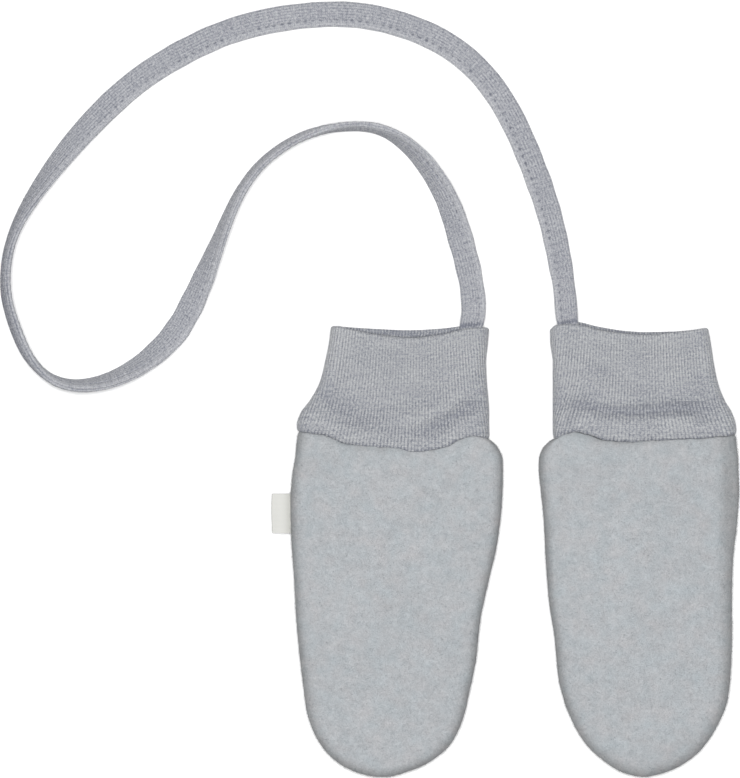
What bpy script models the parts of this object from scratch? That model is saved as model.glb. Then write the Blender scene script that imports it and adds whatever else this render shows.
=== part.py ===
"""A pair of thumbless baby mittens lying flat, joined by a long flat band.

Each mitten is a front and a back panel of brushed fleece, sewn to a cuff of folded jersey.
The band is one strip of the same jersey. It comes out of one cuff, lies in a double loop on the
surface, stands on its edge round the two tight bends, and goes into the other cuff.
Sizes are in millimetres. +Y points from the tips to the cuffs and +Z up from the surface.
"""

import math
from collections import namedtuple

import bmesh
import bpy
import numpy as np

MM = 0.001

# Cloth walls, and the clearance left at every seam
FLEECE_WALL = 2.2
JERSEY_WALL = 2.1
LABEL_WALL = 0.5
GAP = 0.3

# Heights above the surface
SIDE_SEAM = 3.7
BODY_TOP = 7.8
BODY_CROWN = 0.4

# How the cloth turns over at the sides, in degrees of a quarter round, and the places of the
# rows between there and the middle, as shares of that distance
EDGE_ROUND = 5.0
EDGE_STAND = 0.5
EDGE_TURNS = (22, 45, 68, 90)
PLATEAU = (0.16, 0.34, 0.54, 0.76, 1.0)
SIDE_ROWS = 14
TIP_STEPS = 14
SEAM_SWAY = 26.0

# The cuff's flattened ring
CUFF_MIDDLE = 0.47
CUFF_RINGS = (0, 0.05, 0.12, 0.2, 0.3, 0.42, 0.55, 0.68, 0.8, 0.9, 0.96, 1)

# The band, and the label in the left mitten's side seam
BAND_WIDTH = 9.4
BAND_THICKNESS = 2.6
BAND_POINTS = 80
BAND_CLEARANCE = 0.1
LABEL_HEIGHT = 14.6
LABEL_OUT = 7.0
LABEL_TOP = 20.6
LABEL_FOLD = 0.65
LABEL_DROOP = 1.2

# Sections of a body or a cuff: how far along the mitten, and the reach to each side of its axis
Section = namedtuple("Section", "along left right")
# The round tip: the angle from the left side, round the tip's centre, and the reach there
Reach = namedtuple("Reach", "angle reach")
# An edge that runs across: the share of the width from the left, and how far along it lies
Edge = namedtuple("Edge", "across along")
# A soft crease in a cuff's front: its middle, as shares across and along, its length and width in
# millimetres, the angle that it runs at, and its depth, negative for a ridge
Crease = namedtuple("Crease", "across along length width angle depth")
# How high a cuff stands at a share of the way from its seam to its mouth
Loft = namedtuple("Loft", "share height")
# The band's route: place, turn about its own line, height above lying flat, and share of its width
Stop = namedtuple("Stop", "x y turn lift gather")
Mitten = namedtuple("Mitten", "name axis body tip seam cuff mouth_front mouth_back creases")

CUFF_LOFT = (
    Loft(0.0, 8.0),
    Loft(0.1, 8.1),
    Loft(0.22, 7.8),
    Loft(0.45, 7.0),
    Loft(0.75, 7.0),
    Loft(1.0, 7.5),
)

LEFT = Mitten(
    name="left",
    axis=-41.0,
    body=(
        Section(41.0, 35.5, 35.5),
        Section(37.0, 36.1, 38.8),
        Section(33.0, 36.5, 40.2),
        Section(25.5, 37.8, 40.2),
        Section(18.0, 38.4, 39.9),
        Section(3.5, 38.0, 38.3),
        Section(-11.5, 37.0, 35.0),
        Section(-26.0, 36.2, 31.9),
        Section(-41.0, 34.8, 30.2),
        Section(-55.5, 33.0, 27.2),
    ),
    tip=(
        Reach(0, 30.1),
        Reach(20, 29.5),
        Reach(45, 29.5),
        Reach(70, 29.1),
        Reach(90, 28.7),
        Reach(108, 27.8),
        Reach(125, 28.1),
        Reach(145, 28.9),
        Reach(163, 29.1),
        Reach(180, 30.1),
    ),
    seam=(
        Edge(0.0, 43.8),
        Edge(0.15, 42.0),
        Edge(0.26, 39.0),
        Edge(0.5, 37.6),
        Edge(0.62, 36.2),
        Edge(0.77, 37.9),
        Edge(0.85, 40.9),
        Edge(0.93, 42.0),
        Edge(1.0, 40.9),
    ),
    cuff=(
        Section(83.0, 23.4, 35.1),
        Section(77.5, 24.1, 34.7),
        Section(70.0, 25.6, 34.0),
        Section(62.5, 27.5, 34.3),
        Section(55.5, 31.2, 34.9),
        Section(51.0, 34.5, 35.1),
        Section(46.0, 36.0, 35.1),
        Section(40.5, 35.6, 35.3),
    ),
    mouth_front=(
        Edge(0.0, 82.3),
        Edge(0.1, 81.6),
        Edge(0.28, 79.6),
        Edge(0.5, 78.3),
        Edge(0.7, 79.6),
        Edge(0.88, 81.9),
        Edge(1.0, 82.2),
    ),
    mouth_back=(
        Edge(0.0, 82.3),
        Edge(0.25, 81.7),
        Edge(0.5, 81.2),
        Edge(0.7, 81.8),
        Edge(0.85, 82.7),
        Edge(1.0, 82.2),
    ),
    creases=(
        Crease(0.72, 0.13, 18, 3.0, 12, 1.0),
        Crease(0.3, 0.16, 20, 3.5, -14, 0.6),
        Crease(0.5, 0.06, 30, 2.6, -3, -0.5),
    ),
)

RIGHT = Mitten(
    name="right",
    axis=49.5,
    body=(
        Section(41.0, 32.1, 36.0),
        Section(37.0, 35.7, 36.3),
        Section(33.0, 36.9, 36.7),
        Section(29.5, 36.9, 36.9),
        Section(22.0, 36.2, 37.1),
        Section(11.0, 35.1, 36.5),
        Section(-4.0, 34.3, 34.9),
        Section(-18.5, 33.2, 34.5),
        Section(-33.5, 31.0, 34.5),
        Section(-48.5, 29.5, 33.8),
        Section(-55.5, 27.7, 33.0),
    ),
    tip=(
        Reach(0, 30.35),
        Reach(16, 28.4),
        Reach(33, 27.7),
        Reach(52, 27.5),
        Reach(72, 28.3),
        Reach(88, 28.7),
        Reach(101, 28.1),
        Reach(125, 27.6),
        Reach(146, 27.7),
        Reach(164, 28.5),
        Reach(180, 30.35),
    ),
    seam=(
        Edge(0.0, 40.9),
        Edge(0.11, 43.4),
        Edge(0.2, 42.4),
        Edge(0.28, 40.4),
        Edge(0.4, 39.8),
        Edge(0.6, 40.5),
        Edge(0.8, 41.1),
        Edge(1.0, 42.4),
    ),
    cuff=(
        Section(84.4, 32.8, 25.4),
        Section(77.5, 32.6, 26.7),
        Section(70.0, 31.7, 27.8),
        Section(62.5, 31.7, 29.3),
        Section(55.5, 31.7, 31.9),
        Section(51.0, 31.7, 34.5),
        Section(46.0, 31.7, 36.0),
        Section(40.5, 31.5, 36.3),
    ),
    mouth_front=(
        Edge(0.0, 82.2),
        Edge(0.12, 82.8),
        Edge(0.3, 81.2),
        Edge(0.47, 79.9),
        Edge(0.6, 79.4),
        Edge(0.78, 80.3),
        Edge(1.0, 82.0),
    ),
    mouth_back=(
        Edge(0.0, 82.2),
        Edge(0.05, 83.9),
        Edge(0.16, 84.2),
        Edge(0.3, 82.5),
        Edge(0.47, 80.9),
        Edge(0.6, 80.4),
        Edge(0.78, 80.6),
        Edge(1.0, 82.0),
    ),
    creases=(
        Crease(0.5, 0.31, 30, 3.2, 4, 1.2),
        Crease(0.8, 0.22, 16, 3.0, -18, 0.8),
        Crease(0.55, 0.12, 34, 2.6, 0, -0.5),
    ),
)

ROUTE = (
    Stop(23.6, 77.5, 0, 2.4, 0.76),
    Stop(23.4, 82.0, 0, 2.4, 0.78),
    Stop(22.9, 86.5, 0, 2.0, 0.88),
    Stop(22.4, 93.0, 0, 0.6, 0.92),
    Stop(20.7, 105.0, 0, 0, 0.97),
    Stop(17.4, 120.8, 0, 0, 1),
    Stop(10.0, 143.0, 0, 0, 1),
    Stop(0.2, 164.0, 0, 0, 1),
    Stop(-11.0, 178.7, 0, 0, 1),
    Stop(-24.0, 188.4, 0, 0, 1),
    Stop(-38.9, 194.6, 0, 0, 1),
    Stop(-55.5, 198.0, 0, 0, 1),
    Stop(-72.2, 197.9, 0, 0, 1),
    Stop(-88.8, 195.5, 0, 0, 1),
    Stop(-105.4, 190.6, 0, 0, 1),
    Stop(-120.2, 183.6, 0, 0, 1),
    Stop(-135.0, 174.3, 3, 0, 1),
    Stop(-149.8, 161.2, 14, 0, 1),
    Stop(-164.8, 144.2, 39, 0, 1),
    Stop(-174.2, 131.0, 60, 0, 1),
    Stop(-181.2, 118.2, 75, 0, 1),
    Stop(-184.4, 106.4, 80, 0, 1),
    Stop(-184.3, 93.1, 78, 0, 1),
    Stop(-180.8, 80.8, 77, 0, 1),
    Stop(-174.7, 69.2, 84, 0, 1),
    Stop(-165.9, 62.2, 98, 0, 1),
    Stop(-155.3, 60.7, 110, 0, 1),
    Stop(-142.3, 64.2, 126, 0, 1),
    Stop(-131.1, 71.2, 143, 0, 1),
    Stop(-121.8, 80.7, 160, 0, 1),
    Stop(-115.1, 92.6, 157, 0, 1),
    Stop(-108.9, 107.0, 131, 0, 1),
    Stop(-102.9, 121.8, 111, 0, 1),
    Stop(-95.3, 136.3, 103, 0, 1),
    Stop(-85.0, 146.9, 101, 0, 1),
    Stop(-72.9, 153.6, 97, 0, 1),
    Stop(-59.2, 156.6, 84, 0, 1),
    Stop(-46.2, 155.4, 78, 0, 1),
    Stop(-36.8, 150.3, 64, 0, 1),
    Stop(-28.2, 141.1, 47, 0, 1),
    Stop(-21.3, 129.3, 34, 0, 1),
    Stop(-16.5, 115.4, 16, 0, 1),
    Stop(-13.1, 102.3, 4, 0, 1),
    Stop(-11.6, 92.0, 0, 0.6, 1),
    Stop(-11.8, 86.0, 0, 2.0, 0.95),
    Stop(-12.7, 81.6, 0, 2.4, 0.76),
    Stop(-12.9, 77.0, 0, 2.4, 0.74),
)


def clear_scene():
    for found in list(bpy.data.objects):
        bpy.data.objects.remove(found)


def cloth(name, colour, roughness, sheen):
    made = bpy.data.materials.new(name)
    made.use_nodes = True
    shader = made.node_tree.nodes["Principled BSDF"]
    shader.inputs["Base Color"].default_value = (*colour, 1)
    shader.inputs["Roughness"].default_value = roughness
    shader.inputs["Metallic"].default_value = 0
    shader.inputs["Sheen Weight"].default_value = sheen
    return made


def column(rows, name):
    return np.array([getattr(row, name) for row in rows], float)


def steady(at, places, values):
    """A curve through the values that never swings past them: a cubic between each pair of
    places, whose slope is level wherever the values turn back."""
    order = np.argsort(places)
    places, values = places[order], values[order]
    step = np.diff(places)
    rise = np.diff(values) / step
    slope = np.zeros(len(places))
    same_way = rise[:-1] * rise[1:] > 0
    near, far = 2 * step[1:] + step[:-1], step[1:] + 2 * step[:-1]
    before, after = rise[:-1][same_way], rise[1:][same_way]
    near, far = near[same_way], far[same_way]
    slope[1:-1][same_way] = (near + far) / (near / before + far / after)
    slope[0], slope[-1] = rise[0], rise[-1]
    span = np.clip(np.searchsorted(places, at) - 1, 0, len(step) - 1)
    t = np.clip((at - places[span]) / step[span], 0, 1)
    return (
        (1 + 2 * t) * (1 - t) ** 2 * values[span]
        + t * (1 - t) ** 2 * step[span] * slope[span]
        + t**2 * (3 - 2 * t) * values[span + 1]
        - t**2 * (1 - t) * step[span] * slope[span + 1]
    )


def flowing(at, places, values):
    """The natural cubic spline through the values, whose bend changes without a break."""
    step = np.diff(places)
    bends = np.eye(len(places))
    turns = np.zeros(values.shape)
    for i in range(1, len(places) - 1):
        bends[i, i - 1 : i + 2] = step[i - 1], 2 * (step[i - 1] + step[i]), step[i]
        turns[i] = 6 * (
            (values[i + 1] - values[i]) / step[i] - (values[i] - values[i - 1]) / step[i - 1]
        )
    bend = np.linalg.solve(bends, turns)
    span = np.clip(np.searchsorted(places, at) - 1, 0, len(step) - 1)
    width = step[span][:, None]
    t = (at[:, None] - places[span][:, None]) / width
    return (
        (1 - t) * values[span]
        + t * values[span + 1]
        + width**2 / 6 * ((1 - t) ** 3 - (1 - t)) * bend[span]
        + width**2 / 6 * (t**3 - t) * bend[span + 1]
    )


def sheet_object(name, points, closed_across, finish, wall, parts, flip=False):
    """An open sheet from rows of points, given a cloth's wall towards its inner side."""
    rows, columns = points.shape[:2]
    index = np.arange(rows * columns).reshape(rows, columns)
    if closed_across:
        index = np.hstack([index, index[:, :1]])
    corners = [index[:-1, :-1], index[:-1, 1:], index[1:, 1:], index[1:, :-1]]
    faces = np.stack(corners[::-1] if flip else corners, axis=-1).reshape(-1, 4)
    mesh = bpy.data.meshes.new(name)
    mesh.from_pydata((points.reshape(-1, 3) * MM).tolist(), [], faces.tolist())
    welded = bmesh.new()
    welded.from_mesh(mesh)
    bmesh.ops.remove_doubles(welded, verts=welded.verts, dist=0.01 * MM)
    welded.to_mesh(mesh)
    welded.free()
    mesh.materials.append(finish)
    mesh.shade_smooth()
    made = bpy.data.objects.new(name, mesh)
    parts.objects.link(made)
    solid = made.modifiers.new("cloth wall", "SOLIDIFY")
    solid.thickness = wall * MM
    solid.offset = -1
    solid.use_even_offset = True
    solid.use_quality_normals = True
    return made


def edge_at(edge, across):
    """How far along an edge lies at each share of the width."""
    return steady(across, column(edge, "across"), column(edge, "along"))


def seam_at(mitten, across, is_front):
    """The seam between body and cuff: wavy in front, and straight from side to side behind."""
    straight = mitten.seam[0].along * (1 - across) + mitten.seam[-1].along * across
    return edge_at(mitten.seam, across) if is_front else straight


def sway(mitten, along, across, is_front):
    """How far a place on the body is carried along by the seam: all the way at the seam, fading
    to nothing further down."""
    top = mitten.body[0].along
    share = np.clip(1 - (top - along) / SEAM_SWAY, 0, 1)
    return share**2 * (3 - 2 * share) * (seam_at(mitten, across, is_front) - GAP / 2 - top)


def side_edges(mitten, sections, along):
    """The x of the outline's left and right side at each height."""
    places = column(sections, "along")
    left = mitten.axis - steady(along, places, column(sections, "left"))
    right = mitten.axis + steady(along, places, column(sections, "right"))
    return left, right


def panel_outline(mitten):
    """The panel's edge, from the seam's left end down round the tip and up to its right end, and
    the point on the panel's spine that each of its points faces."""
    top, tip_along = mitten.body[0].along, mitten.body[-1].along
    along = top + (tip_along - top) * np.linspace(0, 1, SIDE_ROWS) ** 1.35
    left, right = side_edges(mitten, mitten.body, along)
    spine = np.stack([(left + right) / 2, along], axis=1)
    angles = np.linspace(0, 180, TIP_STEPS + 1)[1:-1]
    reach = steady(angles, column(mitten.tip, "angle"), column(mitten.tip, "reach"))
    turn = np.radians(angles)
    tip = spine[-1] - reach[:, None] * np.stack([np.cos(turn), np.sin(turn)], axis=1)
    left, right = np.stack([left, along], axis=1), np.stack([right, along], axis=1)
    edge = np.vstack([left, tip, right[::-1]])
    facing = np.vstack([spine, np.tile(spine[-1], (len(tip), 1)), spine[::-1]])
    return edge, facing


def panel(mitten, is_front, finish, parts):
    """One fleece panel: it stands up from the side seam, turns over and runs level to its spine."""
    edge, facing = panel_outline(mitten)
    seam_level = SIDE_SEAM + (GAP / 2 if is_front else -GAP / 2)
    rise = BODY_TOP - BODY_CROWN - seam_level if is_front else seam_level
    turns = np.radians(EDGE_TURNS)
    insets = np.concatenate([[0, 0], EDGE_ROUND * (1 - np.cos(turns))])
    rises = np.concatenate([[0, EDGE_STAND], EDGE_STAND + (rise - EDGE_STAND) * np.sin(turns)])
    shares = insets / np.linalg.norm(facing - edge, axis=1)[:, None]
    plateau = shares[:, -1:] + (1 - shares[:, -1:]) * np.array(PLATEAU)
    shares = np.hstack([shares, plateau])[:, :, None]
    crown = BODY_CROWN * np.sin(np.pi / 2 * np.array(PLATEAU)) * is_front
    height = np.concatenate([rises, rise + crown])
    flat = edge[:, None] * (1 - shares) + facing[:, None] * shares
    left, right = side_edges(mitten, mitten.body, flat[:, :, 1])
    across = (flat[:, :, 0] - left) / (right - left)
    flat[:, :, 1] += sway(mitten, flat[:, :, 1], np.clip(across, 0, 1), is_front)
    height = np.broadcast_to(seam_level + (height if is_front else -height), left.shape)
    points = np.dstack([flat, height])
    name = f"{mitten.name}_{'front' if is_front else 'back'}"
    return sheet_object(name, points, False, finish, FLEECE_WALL, parts, flip=is_front)


def flat_ring(width, height):
    """A flattened ring of cloth, as x from its left end, z, and how nearly each point lies on top.
    It runs from the left end over the top to the right end and back along the surface."""
    turns = np.radians((0, *EDGE_TURNS))
    middle = CUFF_MIDDLE * height
    plateau = EDGE_ROUND + (width / 2 - EDGE_ROUND) * np.array(PLATEAU)
    inset = np.concatenate([EDGE_ROUND * (1 - np.cos(turns)), plateau])
    lift = np.concatenate([np.sin(turns), np.ones(len(plateau))])
    x = np.concatenate([inset, width - inset[-2::-1]])
    lift = np.concatenate([lift, lift[-2::-1]])
    top = middle + (height - middle) * lift
    bottom = middle - middle * lift
    x = np.concatenate([x, x[-2:0:-1]])
    z = np.concatenate([top, bottom[-2:0:-1]])
    topness = np.concatenate([lift, np.zeros(len(lift) - 2)])
    is_front = np.arange(len(x)) < len(lift)
    return x, z, topness, is_front


def crease_depth(mitten, across, share, width, length):
    """How far the cuff's creases lower its front at each place."""
    depth = np.zeros_like(across)
    for crease in mitten.creases:
        turn = math.radians(crease.angle)
        x, y = (across - crease.across) * width, (share - crease.along) * length
        along = x * math.cos(turn) + y * math.sin(turn)
        over = y * math.cos(turn) - x * math.sin(turn)
        depth += crease.depth * np.exp(-((along / crease.length) ** 2) - (over / crease.width) ** 2)
    return depth


def cuff(mitten, finish, parts):
    """One tube of folded jersey, flattened, from the wavy seam to the mouth, whose front edge
    dips below its back edge."""
    rings = []
    seam_ends = np.array([mitten.seam[0].along, mitten.seam[-1].along])
    mouth_ends = np.array([mitten.mouth_front[0].along, mitten.mouth_front[-1].along])
    length = (mouth_ends - seam_ends).mean()
    for share in CUFF_RINGS:
        ends = seam_ends + (mouth_ends - seam_ends) * share
        lefts, rights = side_edges(mitten, mitten.cuff, ends)
        left, right = lefts[0], rights[1]
        height = steady(share, column(CUFF_LOFT, "share"), column(CUFF_LOFT, "height"))
        x, z, topness, is_front = flat_ring(right - left, height)
        across = x / (right - left)
        seam = np.where(is_front, *(seam_at(mitten, across, front) for front in (True, False)))
        mouths = (edge_at(edge, across) for edge in (mitten.mouth_front, mitten.mouth_back))
        mouth = np.where(is_front, *mouths)
        along = seam + GAP / 2 + (mouth - seam - GAP / 2) * share
        z = z - topness * crease_depth(mitten, across, share, right - left, length)
        rings.append(np.stack([left + x, along, z], axis=1))
    name = f"{mitten.name}_cuff"
    return sheet_object(name, np.array(rings), True, finish, JERSEY_WALL, parts)


def band(finish, parts):
    """The strip, as a curve whose flat section turns with the route and rests on the surface."""
    stops = np.array(ROUTE)
    gone = np.linalg.norm(np.diff(stops[:, :2], axis=0), axis=1)
    places = np.concatenate([[0], np.cumsum(gone)])
    x, y, turn, lift, gather = flowing(np.linspace(0, places[-1], BAND_POINTS), places, stops).T
    straight = (BAND_WIDTH - BAND_THICKNESS) / 2
    rest = BAND_THICKNESS / 2 + straight * np.abs(np.sin(np.radians(turn)))
    z = rest + np.clip(lift, 0, None) + BAND_CLEARANCE
    curve = bpy.data.curves.new("band", "CURVE")
    curve.dimensions = "3D"
    curve.twist_mode = "Z_UP"
    curve.bevel_depth = BAND_THICKNESS / 2 * MM
    curve.extrude = straight * MM
    curve.bevel_resolution = 2
    curve.use_fill_caps = True
    spline = curve.splines.new("POLY")
    spline.points.add(BAND_POINTS - 1)
    for point, place, angle, share in zip(spline.points, zip(x, y, z), turn, np.clip(gather, 0, 1)):
        point.co = (*(value * MM for value in place), 1)
        point.tilt = math.radians(angle + 90)
        point.radius = share
    curve.materials.append(finish)
    made = bpy.data.objects.new("band", curve)
    parts.objects.link(made)
    return made


def label(mitten, finish, parts):
    """A blank woven tag, folded double, whose open end meets the mitten's left side seam."""
    middle = np.array([LABEL_TOP - LABEL_HEIGHT / 2])
    side = side_edges(mitten, mitten.body, middle)[0][0]
    reach = np.array([0, 0.35, 0.7, 1]) * (LABEL_OUT - LABEL_FOLD)
    turns = np.radians([30, 60, 90, 120, 150])
    droop = LABEL_DROOP * (reach / LABEL_OUT) ** 2
    outer_x = side - GAP - reach
    upper = np.stack([outer_x, SIDE_SEAM - droop + LABEL_FOLD], axis=1)
    lower = np.stack([outer_x, SIDE_SEAM - droop - LABEL_FOLD], axis=1)
    fold_at = (upper[-1] + lower[-1]) / 2
    fold = fold_at + LABEL_FOLD * np.stack([-np.sin(turns), np.cos(turns)], axis=1)
    run = np.vstack([upper, fold, lower[::-1]])
    rows = [
        np.stack([run[:, 0], np.full(len(run), along), run[:, 1]], axis=1)
        for along in np.linspace(LABEL_TOP, LABEL_TOP - LABEL_HEIGHT, 4)
    ]
    return sheet_object("label", np.array(rows), False, finish, LABEL_WALL, parts)


def main():
    clear_scene()
    parts = bpy.data.collections.new("mittens")
    bpy.context.scene.collection.children.link(parts)
    fleece = cloth("brushed fleece", (0.47, 0.49, 0.51), 0.95, 0.4)
    jersey = cloth("folded jersey", (0.4, 0.41, 0.44), 0.9, 0.15)
    strip = cloth("band jersey", (0.4, 0.41, 0.44), 0.9, 0.15)
    woven = cloth("woven label", (0.86, 0.84, 0.78), 0.8, 0.0)
    for mitten in (LEFT, RIGHT):
        panel(mitten, True, fleece, parts)
        panel(mitten, False, fleece, parts)
        cuff(mitten, jersey, parts)
    band(strip, parts)
    label(LEFT, woven, parts)


main()
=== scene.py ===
# %% [markdown]
# # A pair of baby mittens on a band
# Two thumbless mittens of light grey brushed fleece lie side by side on a white table. Each has a
# cuff of fine jersey folded double, and one long flat band of the same jersey joins the cuffs.
# +Y runs from the finger tips to the cuffs and +Z is up from the table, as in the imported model.
# Sizes are given in millimetres and made metres at the end.

import bmesh
import bpy
import numpy as np
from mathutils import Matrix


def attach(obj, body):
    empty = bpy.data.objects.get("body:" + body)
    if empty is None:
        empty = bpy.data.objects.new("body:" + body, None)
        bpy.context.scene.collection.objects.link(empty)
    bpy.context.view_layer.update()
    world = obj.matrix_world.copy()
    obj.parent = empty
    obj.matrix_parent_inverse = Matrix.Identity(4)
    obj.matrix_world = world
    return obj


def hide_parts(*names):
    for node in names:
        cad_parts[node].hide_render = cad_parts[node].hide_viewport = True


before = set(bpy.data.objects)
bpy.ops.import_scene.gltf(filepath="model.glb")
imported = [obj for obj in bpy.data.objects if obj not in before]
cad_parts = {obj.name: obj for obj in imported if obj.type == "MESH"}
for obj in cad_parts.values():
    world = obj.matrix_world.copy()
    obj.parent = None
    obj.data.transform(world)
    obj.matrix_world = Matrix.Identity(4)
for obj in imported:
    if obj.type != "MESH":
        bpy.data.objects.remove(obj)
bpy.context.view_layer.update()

MM = 0.001

# %% [markdown]
# ## Camera, table and light
# A flat-lay picture is taken straight down. The camera isn't fitted by eye: a pixel of the picture
# is 0.37 mm on the table, the picture is 778 of them high, and that height sets the focal length.

# %% Camera
PIXEL = 0.37
PICTURE_HEIGHT = 778
PICTURE_MIDDLE = (-49.95, 59.39)
CAMERA_HEIGHT = 2500
CLOTH_HEIGHT = 6

lens = bpy.data.cameras.new("camera")
lens.sensor_width = 36
lens.lens = 36 * (CAMERA_HEIGHT - CLOTH_HEIGHT) / (PICTURE_HEIGHT * PIXEL)


def add_object(name, data):
    """A new object in the scene with that camera, lamp or mesh."""
    made = bpy.data.objects.new(name, data)
    bpy.context.scene.collection.objects.link(made)
    return made


camera = add_object("camera", lens)
camera.location = (PICTURE_MIDDLE[0] * MM, PICTURE_MIDDLE[1] * MM, CAMERA_HEIGHT * MM)
bpy.context.scene.camera = camera
print("lens", round(lens.lens, 1), "mm")

# %% [markdown]
# A large soft box hangs over the cloth, as in a studio. It keeps the table white and lets rounded
# sides fall off to grey. A weak one at the upper left brings out the creases, and a dim white tent
# fills the rest. One lamp alone would give long shadows or no relief.

# %% Table and lights
bpy.context.scene.view_settings.view_transform = "Standard"

TABLE_REACH = 4  # metres
TABLE_DROP = 0.0003
table_mesh = bpy.data.meshes.new("table")
table_mesh.from_pydata([(x * TABLE_REACH, y * TABLE_REACH, -TABLE_DROP)
                        for x, y in ((-1, -1), (1, -1), (1, 1), (-1, 1))], [], [(0, 1, 2, 3)])
table = add_object("table", table_mesh)
white_paint = bpy.data.materials.new("white table")
white_paint.use_nodes = True
white_shader = white_paint.node_tree.nodes["Principled BSDF"]
white_shader.inputs["Base Color"].default_value = (0.9, 0.9, 0.9, 1)
white_shader.inputs["Roughness"].default_value = 0.9
table_mesh.materials.append(white_paint)


def soft_box(name, place, power, size):
    """A square lamp of that many watts and metres, turned from its place to the mittens."""
    lamp_data = bpy.data.lights.new(name, "AREA")
    lamp_data.energy = power
    lamp_data.size = size
    lamp = add_object(name, lamp_data)
    lamp.location = place
    target = camera.location.copy()
    target.z = 0
    lamp.rotation_euler = (target - lamp.location).to_track_quat("-Z", "Y").to_euler()


soft_box("soft box over the table", (-0.05, 0.12, 2.3), 68.5, 0.9)
soft_box("soft box at the upper left", (-0.9, 1.2, 1.9), 4, 0.8)
tent = bpy.data.worlds.new("white tent")
tent.use_nodes = True
tent_light = tent.node_tree.nodes["Background"]
tent_light.inputs["Color"].default_value = (1, 1, 1, 1)
tent_light.inputs["Strength"].default_value = 0.12
bpy.context.scene.world = tent

# %% [markdown]
# ## Helpers for surfaces
# A piece of cloth is a grid of points, worked out as one array. Its faces are numbered from the
# grid too, so no point is ever placed by hand. Where two edges of a grid meet, such as at the tip
# of a mitten, the doubled points are merged, which closes the surface.

# %% Grid and mesh helpers
def grid_faces(rows, columns):
    """The four corner numbers of each cell of a grid whose points are numbered row by row."""
    number = np.arange(rows * columns).reshape(rows, columns)
    corners = [number[:-1, :-1], number[:-1, 1:], number[1:, 1:], number[1:, :-1]]
    return np.stack(corners, axis=-1).reshape(-1, 4)


def enclosed(points, faces):
    """Six times the volume inside a closed surface. Each face is cut into triangles round its
    first corner, and the triple products of their corners are summed."""
    a = points[faces[:, 0]]
    return sum((a * np.cross(points[faces[:, i]], points[faces[:, i + 1]])).sum()
               for i in range(1, faces.shape[1] - 1))


MERGE_WITHIN = 2e-6  # metres


def make_piece(name, points, faces, finish, uv=None, merge=True, shade=None, painted_shading=None):
    """One object from an array of points in millimetres and an array of faces. uv has a row for
    each point, the painted shading a number for each point (painted shade, or painted highlight
    below 0), and shade a number for each face. Faces of a closed surface point outwards."""
    points = points.reshape(-1, 3)
    if enclosed(points, faces) < 0:
        faces = faces[:, ::-1]
    mesh = bpy.data.meshes.new(name)
    mesh.from_pydata(points * MM, [], faces)
    if uv is not None:
        layer = mesh.uv_layers.new(name="stitches")
        layer.data.foreach_set("uv", uv.reshape(-1, 2)[faces.ravel()].astype(np.float32).ravel())
    # the painted shading is carried at each point: painted shade above 0, painted highlight below
    for title, domain, values in (("shade", "FACE", shade), ("painted_shading", "POINT", painted_shading)):
        if values is not None:
            numbers = mesh.attributes.new(title, "FLOAT", domain)
            numbers.data.foreach_set("value", values.astype(np.float32).ravel())
    mesh.materials.append(finish)
    mesh.shade_smooth()
    if merge:
        joined = bmesh.new()
        joined.from_mesh(mesh)
        bmesh.ops.remove_doubles(joined, verts=joined.verts, dist=MERGE_WITHIN)
        joined.to_mesh(mesh)
        joined.free()
    mesh.calc_loop_triangles()
    print(name, len(mesh.loop_triangles), "triangles")
    return add_object(name, mesh)


# %% [markdown]
# Outlines are given as short tables. A curve that must not swing past its values, such as the side
# of a mitten, takes a level slope wherever the values turn back. The band's line on the table has
# to bend smoothly instead, so it takes the natural cubic spline.

# %% Curves through tables
def steady(at, places, values):
    """A cubic between each pair of places, with the harmonic mean of the slopes on both sides as
    its slope at a place, and a level one where the values turn back."""
    places, values = np.asarray(places, float), np.asarray(values, float)
    order = np.argsort(places)
    places, values = places[order], values[order]
    step = np.diff(places)
    rise = np.diff(values) / step
    slope = np.zeros(len(places))
    same_way = rise[:-1] * rise[1:] > 0
    near, far = 2 * step[1:] + step[:-1], step[1:] + 2 * step[:-1]
    safe = np.where(same_way, rise[:-1], 1), np.where(same_way, rise[1:], 1)
    slope[1:-1] = np.where(same_way, (near + far) / (near / safe[0] + far / safe[1]), 0)
    slope[0], slope[-1] = rise[0], rise[-1]
    span = np.clip(np.searchsorted(places, at) - 1, 0, len(step) - 1)
    t = np.clip((at - places[span]) / step[span], 0, 1)
    return ((1 + 2 * t) * (1 - t) ** 2 * values[span] + t * (1 - t) ** 2 * step[span] * slope[span]
            + t**2 * (3 - 2 * t) * values[span + 1] - t**2 * (1 - t) * step[span] * slope[span + 1])


def flowing(at, places, values):
    """The natural cubic spline: the bends at all places solve one set of linear equations."""
    step = np.diff(places)
    middle = np.arange(1, len(places) - 1)
    bends = np.eye(len(places))
    bends[middle, middle - 1], bends[middle, middle + 1] = step[:-1], step[1:]
    bends[middle, middle] = 2 * (step[:-1] + step[1:])
    rise = np.diff(values, axis=0) / step[:, None]
    turns = np.zeros(values.shape)
    turns[1:-1] = 6 * np.diff(rise, axis=0)
    bend = np.linalg.solve(bends, turns)
    span = np.clip(np.searchsorted(places, at) - 1, 0, len(step) - 1)
    width = step[span][:, None]
    t = (at[:, None] - places[span][:, None]) / width
    return ((1 - t) * values[span] + t * values[span + 1]
            + width**2 / 6 * ((1 - t) ** 3 - (1 - t)) * bend[span]
            + width**2 / 6 * (t**3 - t) * bend[span + 1])


def bell(distance, width):
    """A bell curve: e to the power of minus the square of distance over width."""
    return np.exp(-((distance / width) ** 2))


def gone_along(points):
    """How far along a line of points each of them lies."""
    return np.concatenate([[0], np.cumsum(np.linalg.norm(np.diff(points, axis=0), axis=1))])


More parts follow.
